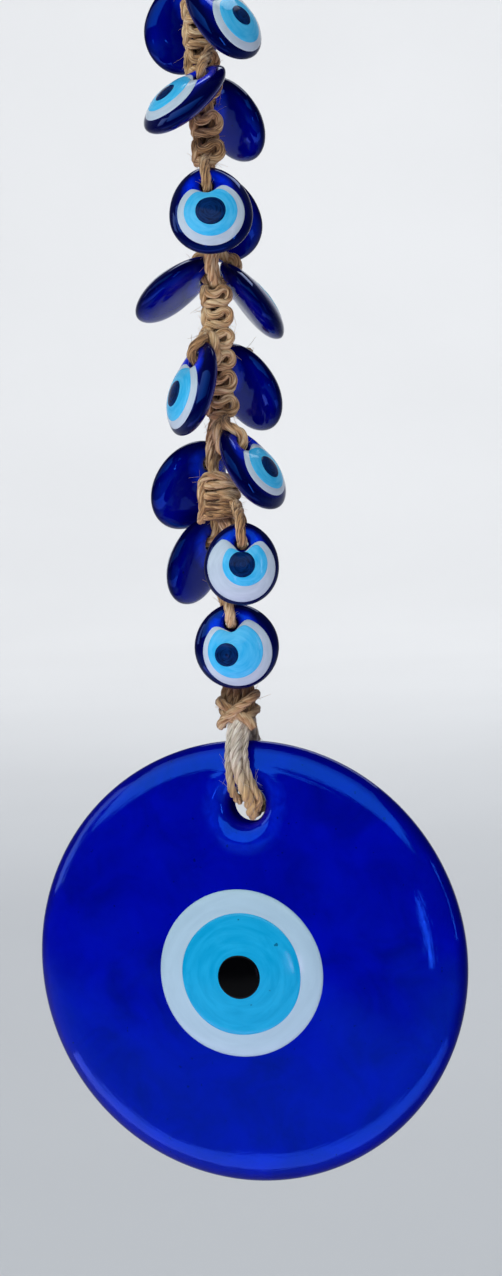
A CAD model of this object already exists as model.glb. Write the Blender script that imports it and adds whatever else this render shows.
"""Looks of the evil eye wall hanging: glass, inlaid eyes and knotted jute.

Lengths are in millimetres while shapes are worked out, and become metres in add_piece().
The floor, the lights and the camera are in metres. x runs to the right, y away from the
viewer and z up. Flat points, of the disc or a bead seen from its front, are (x, z).
"""

import math
import random
from collections import namedtuple

import bpy
import numpy as np
from mathutils import Matrix, Vector


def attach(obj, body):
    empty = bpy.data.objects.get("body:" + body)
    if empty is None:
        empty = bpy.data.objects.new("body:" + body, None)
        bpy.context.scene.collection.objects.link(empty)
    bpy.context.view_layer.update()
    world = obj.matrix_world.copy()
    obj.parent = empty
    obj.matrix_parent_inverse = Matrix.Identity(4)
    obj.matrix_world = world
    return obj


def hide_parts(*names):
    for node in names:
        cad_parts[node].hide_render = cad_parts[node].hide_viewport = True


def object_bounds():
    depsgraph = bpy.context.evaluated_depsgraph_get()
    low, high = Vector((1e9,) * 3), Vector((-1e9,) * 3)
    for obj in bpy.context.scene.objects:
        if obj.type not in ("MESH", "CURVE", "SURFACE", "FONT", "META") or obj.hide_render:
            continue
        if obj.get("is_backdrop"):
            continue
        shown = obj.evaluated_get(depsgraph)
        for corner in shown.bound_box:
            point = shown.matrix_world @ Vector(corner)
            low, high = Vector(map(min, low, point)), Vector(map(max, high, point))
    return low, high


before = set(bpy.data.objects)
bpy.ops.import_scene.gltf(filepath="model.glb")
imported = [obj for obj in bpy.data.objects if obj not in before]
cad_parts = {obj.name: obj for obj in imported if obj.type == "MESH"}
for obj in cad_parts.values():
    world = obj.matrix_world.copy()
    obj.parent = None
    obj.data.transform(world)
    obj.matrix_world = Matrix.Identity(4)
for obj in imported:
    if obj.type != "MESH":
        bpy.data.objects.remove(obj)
cad_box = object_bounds()

MM = 0.001
STEM = "stem"
DISC = "disc"
TURN = 2 * math.pi

# The disc: its radius, its rim's, the dome's height, where the dome's shoulder begins, and
# the hole with the rounding of its front and back. It follows the solid within 1 mm.
DISC_R = 55.5
DISC_RIM = 4
DISC_DOME = 5.8
SHOULDER = 43.5
DISC_CENTRE = np.array([-0.5, -302.8])
HOLE_CENTRE = np.array([1.2, -263.2])
HOLE_R = 4.5
HOLE_MOUTH = 4
HOLE_BACK = 1.5
MOUTH_R = HOLE_R + HOLE_MOUTH

# Relief of the disc's front: ripples and a collar round the hole, and ridges near the rim
RIPPLE = 0.05
RIPPLE_LENGTH = 2.9
COLLAR = 0.22
COLLAR_FOOT = 0.3
COLLAR_R = 9.4
RIDGE = 0.012
RIDGE_R = 48

# A layer of an inlaid eye: its middle, its radius, its bulge, its lip, how deep it is sunk,
# how finely it is divided, and how uneven it is on the disc
Inlay = namedtuple("Inlay", "name at radius bulge lip sink rings spokes uneven",
                   defaults=(0.4, 12, 96, 0))
DISC_EYE = [
    Inlay("white", (-1.8, -304.8), 21, 2, 0.35, 0.8, 30, 144, 0.35),
    Inlay("iris", (-1.3, -304.8), 15.3, 0.15, 0.14, 0.5, 24, 144, 0.4),
    Inlay("pupil", (-1.6, -305.3), 5.45, 0.2, 0.15, 0.5, 12, 96, 0.2),
]

# A bead's hole is at (x, y, z). It is turned about the upright, leant and swung, in degrees.
# tip is how far it reaches above the hole. Its tie leaves the stem at the height tie_z and
# takes a route of tie_path().
Bead = namedtuple("Bead", "x y z turn lean swing wide long tip tie_z tie")
BEADS = [
    Bead(-4, 6, -65, -135, -5, -20, 21, 24.5, 6, -57, "over"),
    Bead(4.5, -9.5, -66, 65, -30, -25, 21, 24, 6, -57, "lap"),
    Bead(3.5, -11, -86, -40, -50, 25, 21, 24.5, 6, -77, "direct"),
    Bead(0.4, 10.1, -88.4, 145, -20, 20, 20.5, 23, 5, -84, "over"),
    Bead(2, -9, -112, 15, -25, -5, 20.5, 23.5, 6.5, -104, "over"),
    Bead(-2, 10, -112.5, 180, -20, 5, 21, 24, 6, -104, "knot"),
    Bead(-5.5, 5, -131, -105, -50, -30, 21, 24, 4.5, -122, "pair"),
    Bead(2, 7, -132.5, 115, -35, 10, 21, 24, 4, -122, "pair"),
    Bead(-1.8, -10.2, -153.6, -50, -20, 5, 21, 24, 5.5, -145, "lap"),
    Bead(1, 9, -154.5, 145, -20, 20, 21.5, 24, 5.5, -145, "knot"),
    Bead(-8, 7, -177.8, -125, -20, -25, 22.5, 24, 5, -168, "knot"),
    Bead(5.5, -7.5, -175, 75, -30, -15, 19.5, 23.5, 6, -167, "lap"),
    Bead(-9.5, 7, -198, -110, -15, -15, 20, 22.5, 6, -190, "plain"),
    Bead(6.6, -11.8, -198, 15, -5, 5, 18.5, 20.5, 5.5, -189, "lap"),
    Bead(1.2, -7, -217.6, 15, 0, -10, 21, 21.5, 5, -211, "over"),
]

# Radii of a bead's eye, how far it sits below the round part's middle, the places of the
# iris and the pupil beside that, and how far it bulges
Eye = namedtuple("Eye", "white iris pupil drop iris_x iris_z pupil_x pupil_z bulge",
                 defaults=(0.75,))
PLAIN_EYE = Eye(8.5, 6.7, 3, 0, 0, 0, 0, 0)

# The eyes that aren't plain, by the bead's number
EYES = {
    2: Eye(8, 6.3, 2.8, 1.6, 0, 0, 0.3, 0.5),
    3: Eye(8, 6.3, 2.8, 0.6, -0.7, 0, -0.2, -0.6),
    5: Eye(8.2, 6.5, 3.7, 0.6, 0, 0.2, 0, 0),
    7: Eye(7.2, 5.6, 2.6, 0, 0, 0, 0, 0, 0.1),
    8: Eye(6.5, 5.1, 2.4, 0.3, 0, 0, 0, 0, 0.05),
    9: Eye(8.4, 6.7, 3.3, 0.8, 0, 0, -0.5, -0.2),
    12: Eye(7.3, 5.9, 3, 0, 0, 0, 0, -0.3),
    14: Eye(8.3, 5.5, 3.2, 0, 0.9, 1, 0.2, 0.8),
    15: Eye(8.5, 6.8, 2.9, 1, -0.4, 0.4, -2.7, 0),
}
WHITE_LIP = 0.12
IRIS_BULGE = 0.1
PUPIL_BULGE = 0.12
INNER_LIP = 0.09

# How far a bead's front and back stand off its middle plane, its hole's radius, and how far
# the hole's mouths are rounded
BEAD_FRONT = 3.5
BEAD_BACK = 3.2
BEAD_HOLE = 1.45
BEAD_MOUTH = 1.2

# The circle of blue round the hole in a bead's eye: how far above the hole its middle is,
# its radius, how far to each side it counts, in radians, and what rounds off its corners
NOTCH_UP = 0.8
NOTCH_R = 2.8
NOTCH_SIDE = 1.2
NOTCH_SOFTEN = [0.07, 0.13, 0.19, 0.22, 0.19, 0.13, 0.07]

# Radii of the jute: the loop, the stem's two strands and the beads' ties
LOOP_R = 1.4
STEM_R = 1.35
TIE_R = 1.3

# A cord's plies, the sides of each ply's tube, and the distance between its sections
PLIES = 3
PLY_SIDES = 10
CORD_STEP = 0.45

# A loose fibre that comes lower than the first stays this far from the disc's middle plane,
# and none reaches above the top of the hanging loop
FIBRE_LOW = -246.5
FIBRE_AWAY = 4.8
FIBRE_TOP = 2.7

# Heights between which the stem has knots, and those of the wrapping
KNOTTED = [(-53, -89), (-92.5, -104.5), (-135, -166.5)]
WRAPPED = (-182, -193)
WRAP_X = -1.7

# Stretches where the stem's middle isn't at the origin: their two heights and the place
STEM_BENDS = [(-120, -134, (0, -3)), (-180, -194, (WRAP_X, 0))]

# Where the ties of some beads leave the stem, by the bead's number, and how far to the side
# they cross the bead's upper edge. The others leave the stem on the bead's side.
TIE_STARTS = {9: (-2.6, -2.9, -146.4), 12: (1.4, -3.2, -167.5), 14: (3.2, -4.6, -188.6),
              15: (0.3, -3.4, -210.5)}
TIE_ASIDE = {14: -0.8, 15: 0.6}

# The pale strands: how far across and forward at the top, how far across just above the
# disc's hole, how far across and how high in it, and their radius
Strand = namedtuple("Strand", "top depth bulge side z thick")
STRANDS = [
    Strand(-1.6, 0, -0.9, -0.9, -261.6, 1.05),
    Strand(0.5, 0.7, 2.9, 2.35, -265.05, 1.55),
    Strand(2.4, 0, 5.4, 3.7, -263.8, 0.95),
]


# Small helpers

def unit(v):
    return v / np.linalg.norm(v)


def lengths(v):
    """The length of each row."""
    return np.linalg.norm(v, axis=1)


def fade(value, start, width):
    """0 up to start, 1 from start + width on, and straight between."""
    return np.clip((value - start) / width, 0, 1)


def swell(value, middle, width):
    """A bell curve: 1 at the middle and little beyond width."""
    return np.exp(-((value - middle) / width) ** 2)


def round_angles(count):
    return np.linspace(0, TURN, count, endpoint=False)


def spokes_out(angle, reach):
    """Flat points at angles from straight up, each as far out as reach says."""
    return np.stack([np.sin(angle), np.cos(angle)], 1) * reach[:, None]


def bearing(away):
    """The angle from straight up of flat points."""
    return np.arctan2(away[:, 0], away[:, 1])


def lifted(flat, y):
    """Flat points at a depth y, which is one number or one for each point."""
    return np.stack([flat[:, 0], np.broadcast_to(y, len(flat)), flat[:, 1]], 1)


def turned(*turns):
    """The rotation by turns, each an angle in degrees and an axis, the last one first."""
    rotation = Matrix.Identity(3)
    for angle, axis in turns:
        rotation = rotation @ Matrix.Rotation(math.radians(angle), 3, axis)
    return rotation


def wave(angle, seed, size):
    """An uneven closed line round a circle, within plus and minus size."""
    rng = random.Random(seed)
    total = sum(rng.uniform(-1, 1) / k * np.sin(k * angle + rng.uniform(0, TURN))
                for k in range(2, 6))
    return size * total / 1.3


# Meshes as points and faces. A face whose last two corners are one is a triangle.

def grid_faces(rows, columns, rows_close=True):
    """Quads of a grid of points whose columns close, and whose rows may."""
    r, c = np.indices((rows if rows_close else rows - 1, columns))
    r2, c2 = (r + 1) % rows, (c + 1) % columns
    quads = [r * columns + c, r * columns + c2, r2 * columns + c2, r2 * columns + c]
    return np.stack(quads, -1).reshape(-1, 4)


def cap_faces(rings, spokes):
    """Faces of rings of points that lie between a first point and a last one."""
    ring = np.arange(spokes)
    after = (ring + 1) % spokes
    last = 1 + (rings - 1) * spokes
    end = np.full_like(ring, last + spokes)
    first_fan = np.stack([0 * ring, 1 + ring, 1 + after, 1 + after], 1)
    last_fan = np.stack([last + ring, end, last + after, last + after], 1)
    quads = 1 + grid_faces(rings, spokes, False)[:, [2, 1, 0, 3]]
    return np.concatenate([first_fan, quads, last_fan])


def join(parts):
    """One (points, faces, values ...) out of several."""
    points, faces, *values = zip(*parts)
    starts = np.cumsum([0] + [len(p) for p in points[:-1]])
    faces = [f + start for f, start in zip(faces, starts)]
    return [np.concatenate(arrays) for arrays in (points, faces, *values)]


def add_object(name, data):
    added = bpy.data.objects.new(name, data)
    bpy.context.scene.collection.objects.link(added)
    return added


def add_mesh(name, points, faces, material):
    """A smooth mesh in the scene, from points in metres."""
    mesh = bpy.data.meshes.new(name)
    corners = [f[:3] if f[2] == f[3] else f for f in faces.tolist()]
    mesh.from_pydata(points.tolist(), [], corners)
    mesh.shade_smooth()
    mesh.materials.append(material)
    return add_object(name, mesh)


def add_piece(name, points, faces, look, body, replaced, values):
    """A piece of the object, from points in millimetres. look is a material and its slot.
    values maps an attribute's name to its numbers, one or three for each point."""
    material, slot = look
    piece = add_mesh(name, points * MM, faces, material)
    for key, numbers in values.items():
        kind, field = ("FLOAT", "value") if numbers.ndim == 1 else ("FLOAT_VECTOR", "vector")
        attribute = piece.data.attributes.new(key, kind, "POINT")
        attribute.data.foreach_set(field, numbers.astype(np.float32).ravel())
    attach(piece, body)
    if replaced:
        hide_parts(*replaced)


# Looks: a material and the slot that it belongs to

class Nodes:
    """A new material's node tree, with short calls to add and link nodes."""

    def __init__(self, name, **settings):
        self.material = bpy.data.materials.new(name)
        self.material.use_nodes = True
        self.tree = self.material.node_tree
        self.shader = self.tree.nodes["Principled BSDF"]
        self.fill(self.shader, **settings)

    def add(self, kind, **settings):
        node = self.tree.nodes.new("ShaderNode" + kind)
        for name, value in settings.items():
            setattr(node, name, value)
        return node

    def feed(self, socket, value):
        """Set a socket to a number or a colour, or link it to a node's output."""
        if isinstance(value, (int, float)):
            socket.default_value = value
        elif isinstance(value, tuple):
            socket.default_value = (*value, 1)
        else:
            self.tree.links.new(value, socket)

    def fill(self, node, **values):
        """Feed sockets of a node, which have spaces where the names here have _."""
        for name, value in values.items():
            self.feed(node.inputs[name.replace("_", " ")], value)

    def place(self):
        return self.add("TexCoord").outputs["Object"]

    def attribute(self, name, output="Fac"):
        return self.add("Attribute", attribute_name=name).outputs[output]

    def noise(self, place, scale, detail=3, roughness=0.5, distortion=0):
        node = self.add("TexNoise")
        self.fill(node, Vector=place, Scale=scale, Detail=detail, Roughness=roughness,
                  Distortion=distortion)
        return node.outputs["Fac"]

    def ramp(self, value, *stops):
        """Colours or grey levels by value: stops are (position, colour or number)."""
        node = self.add("ValToRGB")
        elements = node.color_ramp.elements
        while len(elements) < len(stops):
            elements.new(0.5)
        for element, (position, colour) in zip(elements, stops):
            element.position = position
            element.color = (*np.broadcast_to(colour, 3), 1)
        self.fill(node, Fac=value)
        return node.outputs["Color"]

    def mix(self, share, a, b, blend="MIX"):
        node = self.add("Mix", data_type="RGBA", blend_type=blend)
        for socket, value in zip([s for s in node.inputs if s.enabled], (share, a, b)):
            self.feed(socket, value)
        return [s for s in node.outputs if s.enabled][0]

    def math(self, operation, a, b):
        node = self.add("Math", operation=operation)
        self.feed(node.inputs[0], a)
        self.feed(node.inputs[1], b)
        return node.outputs[0]

    def bump(self, height, strength, distance):
        node = self.add("Bump")
        self.fill(node, Strength=strength, Distance=distance, Height=height)
        self.fill(self.shader, Normal=node.outputs["Normal"])

    def colour(self, source):
        self.fill(self.shader, Base_Color=source)

    def roughness(self, source):
        self.fill(self.shader, Roughness=source)


def blue_glass(name, slot, deep, middle, bright, dark):
    """Cast blue glass: cloudy depth, brighter where the attribute glow says that light
    comes through, dark where shade says so, with tiny seeds and a surface that isn't quite
    even and is drawn out along its rim."""
    n = Nodes(name, IOR=1.5, Specular_Tint=(0.02, 0.2, 1))
    n.fill(n.shader, Specular_IOR_Level=n.attribute("gloss"))
    place = n.place()
    clouds = n.ramp(n.noise(place, 70, 4, 0.55, 0.6), (0.3, deep), (0.68, middle))
    shaded = n.mix(n.attribute("shade"), clouds, dark)
    glow = n.math("MULTIPLY", n.attribute("glow"), n.noise(place, 260, 3, 0.6, 0.8))
    lit = n.mix(n.ramp(glow, (0.1, 0), (0.55, 1)), shaded, bright)
    seeds = n.ramp(n.noise(place, 700, 1), (0.76, 0), (0.79, 1))
    n.colour(n.mix(n.math("MULTIPLY", seeds, 0.7), lit, dark))
    n.roughness(n.ramp(n.noise(place, 220, 2), (0.3, 0.02), (0.75, 0.08)))
    drawn = n.math("MULTIPLY", n.noise(n.attribute("streak", "Vector"), 1.1, 4, 0.6),
                   n.attribute("rim"))
    n.bump(n.math("ADD", n.noise(place, 90, 2, 0.4), n.math("MULTIPLY", drawn, 0.4)), 0.2, 0.0005)
    return n.material, slot


def eye_glass(name, slot, low, high, specks=0, dark=(0, 0, 0), shine=0.15):
    """Opaque glass with faint swirls round the eye's middle and, where asked, dark specks."""
    n = Nodes(name, IOR=1.5, Specular_IOR_Level=shine)
    swirls = n.noise(n.attribute("eye", "Vector"), 1.6, 4, 0.55, 0.5)
    tones = n.ramp(swirls, (0.35, low), (0.62, high))
    spots = n.ramp(n.noise(n.place(), 420, 2), (0.72, 0), (0.75, 1))
    n.colour(n.mix(n.math("MULTIPLY", spots, specks), tones, dark))
    n.roughness(n.ramp(n.noise(n.place(), 260, 2), (0.3, 0.06), (0.75, 0.16)))
    n.bump(n.noise(n.place(), 120, 2, 0.4), 0.12, 0.0005)
    return n.material, slot


def jute(name, dark, middle, light):
    """Twisted plant fibre: fine streaks along each ply, dark grooves between plies, and
    golden where the attribute warm says so."""
    n = Nodes(name, Sheen_Weight=0.15, Sheen_Roughness=0.6, Specular_IOR_Level=0.2)
    along = n.attribute("fibre", "Vector")
    streaks = n.noise(along, 1.7, 4, 0.6)
    tone = n.noise(n.place(), 120, 3)
    value = n.math("ADD", n.math("MULTIPLY", streaks, 0.7), n.math("MULTIPLY", tone, 0.3))
    lit = n.ramp(value, (0.38, dark), (0.49, middle), (0.60, light))
    lit = n.mix(n.attribute("warm"), lit, (0.88, 0.66, 0.33), "MULTIPLY")
    hollow = n.math("MAXIMUM", n.attribute("groove"), n.attribute("deep"))
    n.colour(n.mix(n.ramp(hollow, (0, 0), (1, 0.85)), lit, dark))
    n.roughness(n.ramp(streaks, (0.3, 0.95), (0.7, 0.7)))
    n.bump(n.noise(along, 3, 5, 0.7), 1, 0.0006)
    return n.material, name


COBALT = blue_glass("cobalt_disc", "cobalt_glass", (0, 0.0002, 0.20), (0.0001, 0.0009, 0.34),
                    (0.001, 0.02, 0.6), (0, 0.0004, 0.07))
BEAD_BLUE = blue_glass("blue_bead", "bead_glass", (0, 0.0006, 0.15), (0.0002, 0.0014, 0.25),
                       (0.001, 0.025, 0.7), (0.0004, 0.0002, 0.02))
MILKY = eye_glass("milky_glass", "white_glass", (0.44, 0.53, 0.60), (0.50, 0.59, 0.66))
MILKY_DISC = eye_glass("milky_disc", "white_glass", (0.35, 0.50, 0.56), (0.38, 0.54, 0.60))
SKY = eye_glass("sky_glass", "sky_glass", (0.03, 0.42, 0.74), (0.08, 0.50, 0.80),
                0.1, (0, 0.05, 0.2))
SKY_DISC = eye_glass("sky_disc", "sky_glass", (0.002, 0.30, 0.52), (0.01, 0.36, 0.60),
                     0.7, (0, 0.05, 0.1))
BLACK = eye_glass("black_glass", "black_glass", (0.0001, 0.0001, 0.0002),
                  (0.0004, 0.0004, 0.0008), shine=0.08)
NAVY = eye_glass("navy_glass", "navy_glass", (0.0005, 0.008, 0.04), (0.002, 0.025, 0.12),
                 shine=0.05)
JUTE = jute("jute", (0.10, 0.04, 0.012), (0.66, 0.35, 0.14), (1, 0.74, 0.42))
PALE_JUTE = jute("pale_jute", (0.28, 0.20, 0.13), (0.68, 0.56, 0.42), (0.98, 0.90, 0.74))


# Pierced glass and inlaid drops

def pierced(hole, hole_r, mouth, back_mouth, edge, front, back, steps):
    """One skin that runs from the hole's mouth over the front, round the edge, over the
    back and through the hole. edge is the outline's points. front and back give how far
    points of the surface stand off the middle plane. steps gives, for the points of a
    mouth, how far each row is on the way to the edge, from 0 to 1."""
    outward = edge - hole
    outward /= lengths(outward)[:, None]
    front_mouth = hole + outward * (hole_r + mouth)
    rear_mouth = hole + outward * (hole_r + back_mouth)
    front_y = -front(front_mouth)
    inner = back(rear_mouth) - back_mouth
    rows = []
    for t in steps(front_mouth):
        points = front_mouth + (edge - front_mouth) * t[:, None]
        rows.append(lifted(points, -front(points)))
    for t in steps(rear_mouth)[-2::-1]:
        points = rear_mouth + (edge - rear_mouth) * t[:, None]
        rows.append(lifted(points, back(points)))
    quarter = np.linspace(0, math.pi / 2, 6)
    for a in quarter[-2::-1]:
        radius = hole_r + back_mouth * (1 - math.cos(a))
        rows.append(lifted(hole + outward * radius, inner + back_mouth * math.sin(a)))
    for share in np.linspace(0, 1, 6)[1:-1]:
        rows.append(lifted(hole + outward * hole_r, inner + (front_y + mouth - inner) * share))
    for a in quarter[:-1]:
        radius = hole_r + mouth * (1 - math.cos(a))
        rows.append(lifted(hole + outward * radius, front_y + mouth * (1 - math.sin(a))))
    return np.concatenate(rows), grid_faces(len(rows), len(edge))


def cap(inlay, outline, height):
    """An inlaid drop of glass on a surface: it bulges in the middle, has a rounded lip and
    is sunk into what it lies on. outline gives its radius by angle from straight up. The
    third thing returned tells where each point is in the eye, for the swirls."""
    lip_start = 0.9
    centre = np.array([inlay.at])
    angle = round_angles(inlay.spokes)
    reach = outline(angle)
    out = spokes_out(angle, reach)
    rows = [lifted(centre, -(height(centre) + inlay.bulge + inlay.lip))]
    for f in [*np.linspace(0, lip_start, inlay.rings)[1:], 0.94, 0.97, 0.99, 1]:
        points = centre + out * f
        down = max(0, (f - lip_start) / (1 - lip_start))
        rise = inlay.bulge * (1 - f * f) + inlay.lip * math.sqrt(max(0, 1 - down**2))
        rows.append(lifted(points, -(height(points) + rise)))
    for points in (centre + out, centre):
        rows.append(lifted(points, inlay.sink - height(points)))
    points = np.concatenate(rows)
    # The rings run clockwise, so the faces are turned round to look outward.
    faces = cap_faces(len(rows) - 2, inlay.spokes)[:, [1, 0, 3, 2]]
    away = (points[:, [0, 2]] - centre) / reach.max()
    return points, faces, np.column_stack([away, 5 * lengths(away)])


def on_cap(height, inlay):
    """The height of a cap's upper surface, to lay the next one on."""
    def over(points):
        share = lengths(points - inlay.at) / inlay.radius
        return height(points) + inlay.bulge * np.clip(1 - share * share, 0, 1) + inlay.lip
    return over


def stacked(height, inlays):
    """Each inlay with the height of the surface that it lies on."""
    for inlay in inlays:
        yield inlay, height
        height = on_cap(height, inlay)


# The disc

def disc_outline(angle):
    """The disc's radius by angle, a little uneven."""
    return DISC_R * (0.9975 + 0.0025 * np.cos(2 * angle) + wave(angle, 5, 0.0012))


def disc_edge(count):
    angle = round_angles(count)
    return DISC_CENTRE + spokes_out(angle, disc_outline(angle))


def disc_share(points):
    """How far out a point is, from 0 at the disc's centre to 1 at its edge."""
    away = points - DISC_CENTRE
    return lengths(away) / disc_outline(bearing(away))


def off_rim(r):
    """How much of the relief there is at a radius: none along the rim."""
    return fade(DISC_R - r, 6, 8)


def hole_ripples(points):
    """Shallow rings round the hole, which die away outward and above it."""
    from_hole = lengths(points - HOLE_CENTRE)
    below = fade(HOLE_CENTRE[1] - points[:, 1], -4, 8)
    rings = RIPPLE * np.cos(from_hole * TURN / RIPPLE_LENGTH)
    return rings * np.exp(-(from_hole - MOUTH_R) / 5) * below


def hole_collar(points):
    """A raised ring round the hole's mouth, highest below it."""
    up = HOLE_CENTRE - points
    from_hole = lengths(up)
    down = np.clip((up[:, 1] + 0.2 * up[:, 0]) / from_hole, 0, 1)
    return (COLLAR + COLLAR_FOOT * down**4) * swell(from_hole, COLLAR_R, 1.5)


def disc_front(points):
    """The domed front, with slow waves, the relief round the hole and faint ridges."""
    r = disc_share(points) * DISC_R
    arc = ((DISC_R - DISC_RIM)**2 + DISC_DOME**2 - DISC_RIM**2) / (2 * (DISC_DOME - DISC_RIM))
    dome = DISC_DOME - arc + np.sqrt(arc**2 - r**2)
    height = dome * np.sqrt(1 - fade(r, SHOULDER, DISC_R - SHOULDER)**3)
    x, z = points[:, 0], points[:, 1]
    slow = 0.10 * np.sin(x / 7.5 + 1) * np.sin(z / 9 + 2) + 0.06 * np.sin((x + z) / 5.2)
    angle = bearing(points - DISC_CENTRE)
    ridges = RIDGE * np.sin(r * 2.6 + 2 * np.sin(angle * 3)) * swell(r, RIDGE_R, 4)
    return (height + off_rim(r) * (slow + hole_ripples(points)) + ridges
            + hole_collar(points) * fade(DISC_R - r, 2, 4))


def disc_back(points):
    """The flat back, with slow waves inside its rounded rim."""
    r = disc_share(points) * DISC_R
    rim = np.sqrt(np.maximum(DISC_RIM**2 - np.maximum(r - (DISC_R - DISC_RIM), 0)**2, 0))
    slow = 0.07 * np.sin(points[:, 0] / 6 + 2) * np.sin(points[:, 1] / 7)
    return rim + off_rim(r) * (slow - 0.07)


def disc_steps(mouth):
    """Rows of slowly growing steps over the face, then of equal angle round the rim."""
    edge = disc_edge(len(mouth))
    away, along = mouth - DISC_CENTRE, edge - mouth

    def reach(share):
        """How far along its line each point has this share of the radius, by halving."""
        low = np.clip(-(away * along).sum(1) / (along * along).sum(1), 0, 1)
        high = np.ones(len(mouth))
        for _ in range(24):
            middle = (low + high) / 2
            inside = disc_share(mouth + along * middle[:, None]) < share
            low, high = np.where(inside, middle, low), np.where(inside, high, middle)
        return (low + high) / 2

    face_end = reach((DISC_R - DISC_RIM) / DISC_R)
    rows = [face_end * (0.35 * s + 0.65 * s * s) for s in np.linspace(0, 1, 84)]
    for a in np.linspace(0, math.pi / 2, 21)[1:-1]:
        rows.append(reach((DISC_R - DISC_RIM + DISC_RIM * math.sin(a)) / DISC_R))
    return rows + [np.ones(len(mouth))]


def disc_values(flat):
    """A bright ring round the hole, a dark edge and a dark hole, gloss that is weaker at
    both, and where the streaks along the rim run."""
    share = disc_share(flat)
    from_hole = lengths(flat - HOLE_CENTRE)
    away = flat - DISC_CENTRE
    down_the_side = np.arctan2(np.abs(away[:, 0]), away[:, 1])
    in_hole = 1 - fade(from_hole, 4.2, 0.7)
    return {"glow": 0.5 * swell(from_hole, MOUTH_R, 3),
            "shade": np.maximum(in_hole, fade(share, 0.955, 0.0625)),
            "gloss": fade(from_hole, 4.7, 0.8) * (1 - 0.75 * fade(share, 0.95, 0.03)),
            "streak": np.stack([share * 55, down_the_side * 2.5, np.sign(away[:, 0]) * 3], 1),
            "rim": fade(share, 0.76, 0.1)}


def poured(inlay, seed):
    """The outline of a layer of the disc's eye: round, but a little uneven."""
    return lambda angle: inlay.radius + wave(angle, seed, inlay.uneven)


def make_disc():
    """The glass and, on it, the three layers of the eye."""
    points, faces = pierced(HOLE_CENTRE, HOLE_R, HOLE_MOUTH, HOLE_BACK, disc_edge(256),
                            disc_front, disc_back, disc_steps)
    add_piece("disc_body", points, faces, COBALT, DISC, ["disc_glass"],
              disc_values(points[:, [0, 2]]))
    looks = {"white": MILKY_DISC, "iris": SKY_DISC, "pupil": BLACK}
    for seed, (inlay, height) in enumerate(stacked(disc_front, DISC_EYE), 11):
        points, faces, swirl = cap(inlay, poured(inlay, seed), height)
        add_piece("disc_eye_" + inlay.name, points, faces, looks[inlay.name], DISC,
                  ["disc_" + inlay.name], {"eye": swirl})


# The beads

def placed(bead, points):
    """Points of the bead's own space, whose origin is its hole, in the scene."""
    rotation = turned((bead.turn, "Z"), (bead.lean, "X"), (bead.swing, "Y"))
    return points @ np.array(rotation).T + [bead.x, bead.y, bead.z]


class BeadShape:
    """The petal shape of one bead, with its hole at the origin. It is round below its
    middle and narrows to a blunt tip above it. The powers say how full its sides are."""

    taper = 0.56
    front_power = 2.6
    back_power = 3.4
    edge_power = 0.55
    dent = 0.35
    dent_r = 3.2

    def __init__(self, bead, seed):
        self.r = bead.wide / 2
        self.tall = bead.long - self.r
        self.middle = np.array([0, bead.tip - self.tall])
        self.seed = seed

    def uneven(self, angle):
        return 0.99 + wave(angle, self.seed, 0.01)

    def edge(self, count):
        angle = round_angles(count)
        up, side = np.cos(angle), np.sin(angle)
        width = np.sign(side) * np.abs(side) ** np.where(up > 0, 2 * self.taper, 1)
        height = np.where(up > 0, self.tall, self.r) * up
        return self.middle + np.stack([self.r * width, height], 1) * self.uneven(angle)[:, None]

    def share(self, points):
        """How far out a point is, from 0 at the middle to 1 at the edge."""
        away = points - self.middle
        height = away[:, 1] / np.where(away[:, 1] > 0, self.tall, self.r)
        up = np.clip(height, 0, 1)
        width = away[:, 0] / self.r / np.clip(1 - up * up, 0.02, 1) ** (self.taper - 0.5)
        return np.sqrt(width**2 + height**2) / self.uneven(bearing(away))

    def front(self, points):
        share = np.clip(self.share(points), 0, 1)
        dent = 1 - self.dent * np.exp(-(points**2).sum(1) / self.dent_r**2)
        return BEAD_FRONT * dent * (1 - share**self.front_power) ** self.edge_power

    def back(self, points):
        share = np.clip(self.share(points), 0, 1)
        return BEAD_BACK * (1 - share**self.back_power) ** self.edge_power

    def steps(self, mouth):
        return [np.full(len(mouth), math.sin(u * math.pi / 2)) for u in np.linspace(0, 1, 26)]

    def values(self, points):
        """A bright ring round the hole, dark edges and hole, and gloss that is weaker at
        both."""
        flat = points[:, [0, 2]]
        from_hole = lengths(flat)
        share = self.share(flat)
        eye_side = 0.92 * fade(share, 0.62, 0.25)
        rear_side = 0.8 * fade(share, 0.86, 0.14)
        shade = np.where(points[:, 1] < 0.5, eye_side, rear_side)
        gloss = 0.6 * fade(from_hole, 1.6, 0.5) * (1 - 0.6 * fade(share, 0.93, 0.05))
        return {"glow": swell(from_hole, 4.2, 2.2) * (1 - fade(share, 0.75, 0.2)),
                "shade": np.maximum(shade, 1 - fade(from_hole, 1.8, 0.5)), "gloss": gloss}


def notched(inlay, seed):
    """The outline of a bead's eye: round, but open where the blue stands round the hole."""
    notch = [0, NOTCH_UP] - inlay.at
    far = np.linalg.norm(notch)
    toward = math.atan2(notch[0], notch[1])

    def outline(angle):
        reach = inlay.radius * (1 + wave(angle, seed, 0.02))
        off = np.angle(np.exp(1j * (angle - toward)))
        inside = NOTCH_R**2 - (far * np.sin(off)) ** 2
        near = far * np.cos(off) - np.sqrt(np.clip(inside, 0, None))
        reach = np.where((inside > 0) & (np.abs(off) < NOTCH_SIDE), np.minimum(reach, near), reach)
        beside = len(NOTCH_SOFTEN) // 2
        padded = np.concatenate([reach[-beside:], reach, reach[:beside]])
        return np.convolve(padded, NOTCH_SOFTEN, "valid")
    return outline


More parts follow.
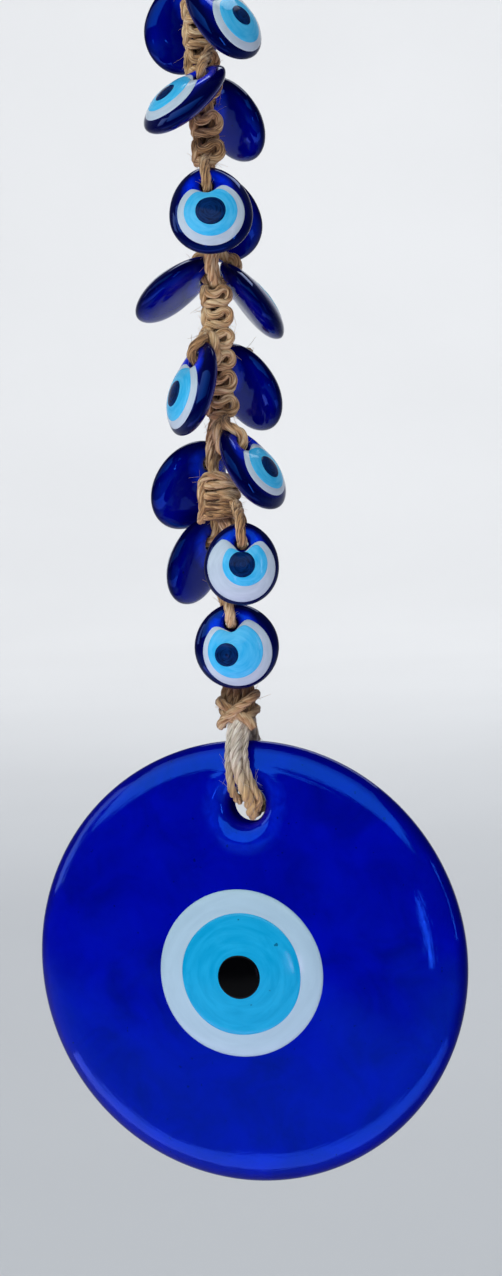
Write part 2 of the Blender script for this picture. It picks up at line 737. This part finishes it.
def bead_inlays(shape, eye):
    """The layers of a bead's eye, in the bead's own space."""
    centre = shape.middle - [0, eye.drop]
    iris_at = centre + [eye.iris_x, eye.iris_z]
    pupil_at = centre + [eye.pupil_x, eye.pupil_z]
    return [Inlay("white", centre, eye.white, eye.bulge, WHITE_LIP),
            Inlay("iris", iris_at, eye.iris, IRIS_BULGE, INNER_LIP),
            Inlay("pupil", pupil_at, eye.pupil, PUPIL_BULGE, INNER_LIP)]


def make_beads():
    """A piece for each bead's glass, and one for each layer of all their eyes."""
    layers = {"white": [], "iris": [], "pupil": []}
    for number, bead in enumerate(BEADS, 1):
        name = f"{number:02d}"
        shape = BeadShape(bead, 20 + number)
        points, faces = pierced(np.zeros(2), BEAD_HOLE, BEAD_MOUTH, BEAD_MOUTH, shape.edge(96),
                                shape.front, shape.back, shape.steps)
        add_piece("glass_bead_" + name, placed(bead, points), faces, BEAD_BLUE, STEM,
                  ["bead_" + name], shape.values(points))
        inlays = bead_inlays(shape, EYES.get(number, PLAIN_EYE))
        for inlay, height in stacked(shape.front, inlays):
            outline = notched(inlay, number * 7 + len(inlay.name))
            points, faces, swirl = cap(inlay, outline, height)
            layers[inlay.name].append((placed(bead, points), faces, swirl + number * 3.1))
    for layer, name, look in (("white", "whites", MILKY), ("iris", "irises", SKY),
                              ("pupil", "pupils", NAVY)):
        points, faces, swirl = join(layers[layer])
        add_piece("eye_" + name, points, faces, look, STEM, ["bead_" + name], {"eye": swirl})


# Lines and cords

def smooth(points, steps):
    """A Catmull-Rom curve through the points, with this many steps between two."""
    p = [np.array(q, float) for q in points]
    p = [2 * p[0] - p[1], *p, 2 * p[-1] - p[-2]]
    out = []
    for a, b, c, d in zip(p, p[1:], p[2:], p[3:]):
        for t in np.linspace(0, 1, steps, endpoint=False):
            out.append(0.5 * (2 * b + (c - a) * t + (2 * a - 5 * b + 4 * c - d) * t * t
                              + (3 * b - a - 3 * c + d) * t**3))
    return np.array([*out, p[-2]])


def evenly(path):
    """The same line with equal steps, and how far along it its points are."""
    length = np.concatenate([[0], np.cumsum(lengths(np.diff(path, axis=0)))])
    count = max(2, round(length[-1] / CORD_STEP) + 1)
    at = np.linspace(0, length[-1], count)
    return np.stack([np.interp(at, length, path[:, k]) for k in range(3)], 1), at


def frames(path):
    """Two directions across the line at each point, carried along without twist."""
    along = np.gradient(path, axis=0)
    along /= lengths(along)[:, None]
    first = unit(np.cross(along[0], [0.3, 1, 0.2]))
    sides = []
    for t in along:
        first = unit(first - t * (first @ t))
        sides.append(first)
    sides = np.array(sides)
    return sides, np.cross(along, sides)


def tube(path, radius, sides, at):
    """A closed tube. radius has one number for each point of the path. Returns points,
    faces and each point's place round and along the fibre."""
    a, b = frames(path)
    angle = round_angles(sides)
    around = np.stack([np.cos(angle), np.sin(angle)], 1)
    ring = a[:, None] * around[:, :1] + b[:, None] * around[:, 1:]
    points = (path[:, None] + ring * radius[:, None, None]).reshape(-1, 3)
    rows = len(path)
    k = np.arange(sides)
    k2 = (k + 1) % sides
    last = (rows - 1) * sides
    end = np.full(sides, rows * sides)
    faces = [grid_faces(rows, sides, False), np.stack([k2, k, end, end], 1),
             np.stack([last + k, last + k2, end + 1, end + 1], 1)]
    along = at * 0.12
    fibre = np.column_stack([np.tile(around * 1.2, (rows, 1)), np.repeat(along, sides)])
    fibre = np.concatenate([fibre, [[0, 0, along[0]], [0, 0, along[-1]]]])
    return np.concatenate([points, path[:1], path[-1:]]), np.concatenate(faces), fibre


class Rope:
    """Cords gathered into one piece."""

    def __init__(self):
        self.parts = []
        self.lines = []

    def cord(self, points, radius, pitch, seed, steps=6, lay=0.32):
        """A twisted cord along a smooth line: its plies wind round each other, with their
        middles at lay times the radius, and are now thicker, now thinner."""
        line, at = evenly(smooth(points, steps))
        a, b = frames(line)
        start = random.Random(seed).uniform(0, TURN)
        self.lines.append((line, radius))
        for ply in range(PLIES):
            angle = start + TURN * (at / pitch + ply / PLIES)
            away = a * np.cos(angle)[:, None] + b * np.sin(angle)[:, None]
            middle = line + away * radius * lay
            thick = radius * (1.02 - lay + 0.04 * np.sin(at * 1.3 + ply * 2)
                              + 0.03 * np.sin(at * 3.1 + seed))
            points, faces, fibre = tube(middle, thick, PLY_SIDES, at)
            fibre = fibre + [seed * 3.7 + ply * 11.3, seed * 1.9, ply * 5.1]
            skin = points[:-2].reshape(len(line), PLY_SIDES, 3)
            around = (skin - middle[:, None]) / thick[:, None, None]
            outward = np.einsum("ijk,ik->ij", around, away).ravel()
            groove = np.append(np.clip(0.6 - outward, 0, 1), [1, 1])
            self.parts.append((points, faces, fibre, groove))

    def piece(self, name, look, replaced, **shades):
        """shades work out, from the points, how far the fibre has turned golden, which is
        warm, and how dark it is between the turns of a knot, which is deep."""
        points, faces, fibre, groove = join(self.parts)
        values = {"fibre": fibre, "groove": groove}
        values.update((key, shade(points)) for key, shade in shades.items())
        add_piece(name, points, faces, look, STEM, replaced, values)


def stray(rng, line, radius):
    """A short bent fibre that stands off a cord, and its length."""
    k = rng.randrange(1, len(line) - 1)
    along = unit(line[k + 1] - line[k - 1])
    out = unit(np.cross(along, [rng.gauss(0, 1) for _ in range(3)]))
    length = rng.uniform(0.8, 3.4) * (2 if rng.random() < 0.06 else 1)
    bend = np.array([rng.gauss(0, 0.5) for _ in range(3)])
    start = line[k] + out * radius * 0.9
    lift = unit(out * rng.uniform(0.15, 0.75) + along * rng.choice([-1, 1]))
    path = [start + length * (s * lift + s * s * (0.35 * bend + 0.2 * out))
            for s in np.linspace(0, 1, 6)]
    return np.array(path), length


def strays(name, ropes, count, look, seed):
    """Short loose fibres on cords, apart from those that would be in the disc's way."""
    rng = random.Random(seed)
    lines = [entry for rope in ropes for entry in rope.lines]
    weights = [len(line) for line, _ in lines]
    parts = []
    for _ in range(count):
        path, length = stray(rng, *rng.choices(lines, weights)[0])
        at_disc = path[:, 2].min() < FIBRE_LOW and np.abs(path[:, 1]).min() < FIBRE_AWAY
        if at_disc or path[:, 2].max() > FIBRE_TOP:
            continue
        thick = np.linspace(0.055, 0.03, len(path))
        points, faces, fibre = tube(path, thick, 3, np.linspace(0, length, len(path)))
        parts.append((points, faces, fibre + rng.uniform(0, 50)))
    points, faces, fibre = join(parts)
    add_piece(name, points, faces, look, STEM, (), {"fibre": fibre})


# The stem and its knots

def sinnet(rope, x, heights, size, half, cord_r, seed, link=1.9):
    """Square knots round the stem, one at each height. The first cord crosses the front
    twice in each knot and bends round at the right. The second does so behind, bends
    round at the left over the first one's ends, and at the right runs on to the next
    knot, link away from the middle. A knot's points are across, back and, in halves of
    its size, up."""
    rng = random.Random(seed)
    out = half - cord_r
    front, rear = -(1.8 + cord_r), 1.7 + cord_r
    first_knot = [(0.5 - out, -1, 0.75), (-1, front, 0.27), (0.7, front - 0.1, 0.25),
                  (out - 0.6, -2.2, 0.75), (out + 0.5, -1.3, 0.5), (out + 0.7, -1.1, -0.2),
                  (out - 0.2, -1.9, -0.75), (0.9, front + 0.1, -0.83), (-0.9, front + 0.1, -0.85),
                  (0.5 - out, -1, -0.95)]
    second_knot = [(0.6, rear, 0.8), (0.2 - out, 0.9, 0.95), (-out - 0.1, -0.8, 0.75),
                   (0.1 - out, -2.1, 0.05), (-out - 0.1, -0.8, -0.75), (0.2 - out, 0.9, -0.95),
                   (0.6, rear, -0.8)]

    def near(px, py, pz):
        return (x + px + rng.gauss(0, 0.09), py + rng.gauss(0, 0.07), pz + rng.gauss(0, 0.09))

    first, second = [], []
    for z, after in zip(heights, [*heights[1:], 2 * heights[-1] - heights[-2]]):
        first += [near(px, py, z + up * size / 2) for px, py, up in first_knot]
        second += [near(px, py, z + up * size / 2) for px, py, up in second_knot]
        second.append(near(link, -0.4, (z + after) / 2))
    rope.cord(first, cord_r, 8.5, seed)
    rope.cord(second[:-1], cord_r, 8.5, seed + 1)


def wrapping(rope):
    """Four turns side by side round the stem, a cord over their left ends that arches over
    the first of them, and a small loop at their right ends."""
    x, turns = WRAP_X, []
    for z in (-183.7, -186.3, -188.8, -191.1):
        turns += [(x - 3.4, 1.8, z + 1), (x - 4.1, -1.3, z + 0.3), (x - 2.5, -3.5, z - 0.1),
                  (x + 0.4, -4, z + 0.1), (x + 2.8, -3.4, z + 0.4), (x + 4, -1, z + 0.1),
                  (x + 3, 2.2, z - 0.6), (x, 3.2, z - 1.2)]
    rope.cord(turns[:-2], 1.22, 7, 49, lay=0.24)
    rope.cord([(x + 3.2, -2.2, -182.6), (x + 1.7, -4.1, -181.5), (x - 1, -4.6, -181.2),
               (x - 3.2, -4.1, -182.4), (x - 3.9, -3.8, -185.4), (x - 3.6, -3.9, -188.6),
               (x - 4.1, -3.4, -190.8), (x - 5, -2, -192.6)], 1.1, 8.5, 50, 8)
    rope.cord([(x + 1.2, -4.1, -187.2), (x + 3.5, -4.5, -187), (x + 4.9, -3.5, -188.3),
               (x + 4, -4.2, -189.6), (x + 1.6, -4.1, -190)], 0.9, 7, 51, 8)


def stem_place(z):
    """Where the stem's middle is at a height."""
    for top, bottom, place in STEM_BENDS:
        if top > z > bottom:
            return np.array(place)
    return np.zeros(2)


def between_turns(points):
    """How deep points of the macrame lie under the outer turns of its knots."""
    z = points[:, 2]
    middle = np.array([stem_place(height) for height in z])
    away = lengths(points[:, :2] - middle)
    knotted = sum((z < top) & (z > bottom) for top, bottom in KNOTTED)
    wrapped = (z < WRAPPED[0]) & (z > WRAPPED[1])
    return (knotted * np.clip((3.3 - away) / 1.1, 0, 1)
            + wrapped * np.clip((4.85 - away) / 0.6, 0, 0.9))


# The stem's two strands. Where there are no knots one hides the other from the front.
NEAR_STRAND = [
    (0.2, -1, -50), (0.9, -0.6, -58), (0.9, -0.6, -82), (0.3, -1.3, -88), (1.1, -0.6, -93),
    (1.1, -0.6, -102), (0.2, -1.6, -106), (0, -4, -120), (0, -4.2, -130), (0.3, -1.8, -134),
    (0.9, -0.6, -138), (0.9, -0.6, -163), (-1.2, -1.8, -167), (-3, -1.2, -172),
    (-3.5, -0.6, -179), (-1.5, -0.6, -184), (-1.2, -0.6, -190), (0.2, -0.8, -192.5),
    (2, -0.9, -196), (1.2, -1.2, -200), (0, -1.2, -206), (0, -1.2, -228), (0.8, -0.8, -234)]
FAR_STRAND = [
    (-0.3, 1.2, -50), (-0.9, 0.6, -58), (-0.9, 0.6, -82), (0, 1.3, -88), (-1.1, 0.6, -93),
    (-1.1, 0.6, -102), (0, 0.9, -106), (0.2, -1.4, -120), (0.2, -1.6, -130), (0, 0.7, -134),
    (-0.9, 0.6, -138), (-0.9, 0.6, -163), (-2.4, 0.6, -168), (-3.2, 1, -173),
    (-3.6, 1.4, -180), (-3.4, 0.6, -184), (-3.2, 0.6, -189), (-2.1, 0.8, -192.5),
    (-0.5, 1, -196), (-1.6, 1.3, -200), (-3.2, 0.9, -204), (-3.6, 0.6, -208),
    (-2.6, 0.8, -213), (-0.3, 1.3, -222), (-0.8, 0.8, -234)]


def make_stem():
    """The strands from the top knot to the lower knot, with the knots on them."""
    rope = Rope()
    rope.cord(NEAR_STRAND, STEM_R, 9, 31, 10)
    rope.cord(FAR_STRAND, STEM_R, 9, 32, 10)
    sinnet(rope, -0.3, [-56.2, -62, -67.9, -74, -80.4, -86.8], 4.9, 4.3, 1.2, 41)
    sinnet(rope, 0, [-95.3, -102.2], 5.4, 3.9, 1.2, 43)
    sinnet(rope, 0, [-137.4, -142.6, -147.8, -153], 4.4, 3.8, 1.1, 45, link=1.7)
    sinnet(rope, 0, [-158.6, -164.4], 5, 3.9, 1.15, 47)
    wrapping(rope)
    rope.piece("macrame", JUTE, ["macrame_stem"], deep=between_turns)
    return rope


# The ties of the beads

def knot_ball(centre, across, size):
    """A small tight knot: a line twice round a point, now near, now far, and to and fro."""
    a = unit(np.cross(across, [0.1, 0.2, 1]))
    b = np.cross(across, a)
    line = []
    for t in np.linspace(0, TURN * 2, 42):
        out = size * (0.75 + 0.35 * math.cos(1.5 * t))
        line.append(centre + (a * math.cos(t) + b * math.sin(t)) * out
                    + across * size * 0.55 * math.sin(1.5 * t))
    return line


def tie_path(number, bead):
    """A tie's line from the stem over the bead's upper edge and through its hole: in front
    of the edge, round it, from behind to a knot or an end in front, or straight."""
    def at(*local):
        return placed(bead, np.array([local], float))[0]

    tip = bead.tip + 1.4
    aside = TIE_ASIDE.get(number, 0)
    over, behind = at(aside, -1.6, bead.tip + 0.4), at(aside, 1.1, tip)
    into_front = [at(aside * 0.6, -3.2, 2.8), at(0, -2.6, 0.8), at(0, -0.8, -0.2)]
    into_back = [at(0, 2.6, bead.tip - 1.2), at(0, 3.6, 2.6), at(0, 2.9, 0.9), at(0, 1, -0.1)]
    axis = stem_place(bead.tie_z)
    side = unit(at(0, 0.5, tip)[:2] - axis)
    inside = np.array([*(axis + side * 1.5), bead.tie_z + 1.5])
    start = np.array(TIE_STARTS.get(number, (*(axis + side * 3.6), bead.tie_z)))
    routes = {
        "over": [over, *into_front, at(0, 2.4, 0)],
        "pair": [over, *into_front, at(0, 1, 0), at(0, 4.6, 0)],
        "lap": [behind, *into_back, *into_front[::-1], over, start],
        "knot": [behind, *into_back, at(0, -1.6, 0), at(0, -3.6, 0)],
        "plain": [behind, *into_back, at(0, -2.2, 0)],
        "direct": [at(0, -3.6, 1.5), at(0, -1.6, 0.2), at(0, 2.4, 0)],
    }
    return [inside, start, *routes[bead.tie]]


def make_ties():
    """Each bead's own cord, with a knot in front of the hole where its route has one."""
    rope = Rope()
    for number, bead in enumerate(BEADS, 1):
        if bead.tie == "knot":
            hole, ahead, centre = placed(bead, np.array([[0, 0, 0], [0, -1, 0], [0, -4.6, 0]]))
            rope.cord(knot_ball(centre, unit(ahead - hole), 1.3), 0.95, 6, 79 + number, 1)
        rope.cord(tie_path(number, bead), TIE_R, 8.5, 59 + number)
    rope.piece("ties", JUTE, ["bead_ties"])
    return rope


# The ends of the stem

def make_loop():
    """The hanging loop: two legs that lean apart and half a circle."""
    rope = Rope()
    bend = 10.4
    arc = [(bend * math.cos(a), 0, -9 + bend * math.sin(a)) for a in np.linspace(0, math.pi, 17)]
    leg = [(1.5, 0, -46), (4.4, 0, -34), (8.2, 0, -20)]
    other_leg = [(-x, y, z) for x, y, z in leg[::-1]]
    rope.cord([*leg, *arc, *other_leg], LOOP_R, 8, 81)
    rope.piece("loop_cord", JUTE, ["hanging_loop"])
    return rope


def make_top_knot():
    """The loop's two ends with a cord wound round them."""
    rope = Rope()
    helix = [(3 * math.sin(t), -3 * math.cos(t), -45.4 - 2.35 * t / TURN)
             for t in np.linspace(0, TURN * 2.4, 60)]
    rope.cord([(0.6, -1.4, -44.6), *helix, (-0.6, 1.2, -52)], 1.3, 7, 84, 4)
    for x in (-1.3, 1.3):
        rope.cord([(x, 0, -44.5), (x, 0, -51.6)], 1.5, 8, 86, 1)
    rope.piece("knot_top", JUTE, ["top_knot"])
    return rope


def make_lower_knot():
    """A bundle of strands that is widest at its middle, with two cords wound round it."""
    rope = Rope()
    bundle = [(-3.5, -0.6), (-1.8, -1.6), (0.1, -1.9), (2, -1.5), (3.6, -0.4), (-2, 1.5),
              (0, 1.9), (2, 1.4)]
    for seed, (x, y) in enumerate(bundle, 90):
        line = [(x * 0.3, y * 0.4, -230.5), (x * 0.8, y * 0.9, -233.5), (x, y, -236.5),
                (x * 0.75, y * 1.1, -240), (x * 0.55, y * 1.15, -243.6)]
        rope.cord(line, 1, 6, seed, 8)
    rope.cord([(-4.3, -2.6, -243.6), (-3.4, -3.4, -242), (0, -4.4, -239.4), (3.4, -3.2, -237),
               (4.4, -0.4, -236), (2.6, 3.2, -236.4), (-2.6, 3.2, -237), (-4.6, -0.2, -237.4),
               (-3.2, -3.2, -238), (0.2, -3.6, -240.2), (3, -3.4, -242.2),
               (4.2, -2.8, -243.9)], 1.25, 6.5, 101, 10)
    rope.cord([(-4.4, 0.2, -239.4), (-3, -2.8, -240.4), (-1, -3.2, -241.8), (2.8, -2.6, -241),
               (4.3, 0, -239.8), (2.4, 3, -239.4), (-2.4, 3, -239.2), (-4.4, 0.2, -239.4)],
              1.1, 6.5, 103, 10)
    rope.piece("knot_lower", JUTE, ["lower_knot"],
               deep=lambda points: np.clip(1.8 - np.abs(points[:, 1]) * 0.4, 0.35, 0.9))
    return rope


def make_strands():
    """The pale strands: down in front of the disc, through its hole and up behind it."""
    rope = Rope()
    for seed, (top, depth, bulge, side, z, thick) in enumerate(STRANDS, 110):
        path = [(top * 0.8, -2.6, -242), (top, -3.6 - depth, -245), (top, -6.2 - depth, -250),
                (top * 0.7 + bulge * 0.3, -7.2 - depth, -254.5),
                (top * 0.1 + bulge * 0.9, -7.2 - depth, -259), (bulge, -5.4, (z - 259) / 2),
                (side + 0.35, -3, z - 0.35), (side, -0.3, z), (side, 3, z),
                (side, 5.4, z + 2), (top * 0.8, 4.9 + thick, -254),
                (top, 4.6 + thick, -249), (top, 3.6, -245), (top, 2.4, -242)]
        rope.cord(path, thick, 8, seed, 12, lay=0.42)
    rope.piece("disc_strands", PALE_JUTE, ["disc_loop"],
               warm=lambda points: fade(-points[:, 2], 251, 9))
    return rope


make_disc()
make_beads()
brown_ropes = [make_stem(), make_ties(), make_loop(), make_top_knot(), make_lower_knot()]
pale_rope = make_strands()
strays("stray_fibres", brown_ropes, 1500, JUTE, 7)
strays("pale_fibres", [pale_rope], 160, PALE_JUTE, 8)


# The studio, in metres

def make_floor():
    """A pale round floor whose edge curves up into a wall all round."""
    floor_z, flat, bend, wall, spokes = -0.6, 4.5, 2, 3.5, 96
    profile = [(0.5, 0), (1.5, 0), (3, 0), (flat, 0)]
    profile += [(flat + bend * math.sin(a), bend * (1 - math.cos(a)))
                for a in np.linspace(0, math.pi / 2, 25)[1:]]
    profile.append((flat + bend, wall))
    corners = [(0, 0, floor_z)]
    for radius, height in profile:
        corners += [(radius * math.cos(a), radius * math.sin(a), floor_z + height)
                    for a in round_angles(spokes)]
    faces = cap_faces(len(profile), spokes)[:-spokes]
    n = Nodes("floor_paper", Roughness=0.95, Specular_IOR_Level=0)
    n.colour(n.ramp(n.noise(n.place(), 2, 2), (0.3, 0.62), (0.7, 0.64)))
    add_mesh("floor", np.array(corners), faces, n.material)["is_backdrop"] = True


def add_area(name, place, aim, size, radiance, colour=(1, 1, 1)):
    """A soft light that the glass reflects and the camera doesn't see."""
    data = bpy.data.lights.new(name, "AREA")
    data.shape = "RECTANGLE"
    data.size, data.size_y = size
    data.energy = radiance * math.pi * size[0] * size[1]
    data.color = colour
    light = add_object(name, data)
    light.location = place
    light.rotation_euler = (Vector(aim) - Vector(place)).to_track_quat("-Z", "Y").to_euler()
    light.visible_camera = False


def make_lights():
    """Soft lights: overhead is for the floor behind, side is a tall strip, and near and low
    are small ones at the disc. A weak blue light comes from all round."""
    middle = (0, 0, -0.25)
    add_area("front", (-0.25, -1, 0.5), middle, (1.9, 1), 2.5, (0.88, 0.97, 1))
    add_area("left", (-1.5, -0.6, 0.3), middle, (0.5, 0.9), 2.6, (1, 0.97, 0.93))
    add_area("overhead", (0.1, 2.2, 2.7), (0.1, 2.8, -0.6), (3.4, 2.2), 4, (0.95, 0.98, 1))
    add_area("side", (1, -0.75, -0.1), middle, (0.1, 0.55), 9, (0.93, 0.83, 1))
    add_area("near", (0.03, -1, -0.425), middle, (0.04, 0.13), 11, (0.75, 0.58, 1))
    add_area("low", (-0.1, -0.27, -0.575), (-0.1, -0.27, 0), (0.9, 0.21), 2.5, (0.8, 0.6, 1))
    add_area("wall", (-1, 3.6, 2.2), (-1.6, 6.4, 0.4), (4, 1), 7.5)
    world = bpy.data.worlds.new("studio")
    world.use_nodes = True
    background = world.node_tree.nodes["Background"]
    background.inputs["Color"].default_value = (0.6, 0.72, 1, 1)
    background.inputs["Strength"].default_value = 0.18
    bpy.context.scene.world = world
    bpy.context.scene.view_settings.view_transform = "Standard"


def make_camera():
    """The photo's view: from a little right and above, and rolled."""
    azimuth, elevation, roll = 16.6, 4.8, 3.2
    target, distance, picture_height = (0.00395, 0, -0.222), 1, 0.3152
    data = bpy.data.cameras.new("camera")
    data.sensor_width = 36
    data.lens = data.sensor_width * distance / picture_height
    camera = add_object("camera", data)
    rotation = turned((azimuth, "Z"), (90 - elevation, "X"), (-roll, "Z"))
    camera.matrix_world = (Matrix.Translation(target) @ rotation.to_4x4()
                           @ Matrix.Translation((0, 0, distance)))
    bpy.context.scene.camera = camera


make_floor()
make_lights()
make_camera()

sizes = {name: [list(corner) for corner in box]
         for name, box in (("cad", cad_box), ("visual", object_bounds()))}
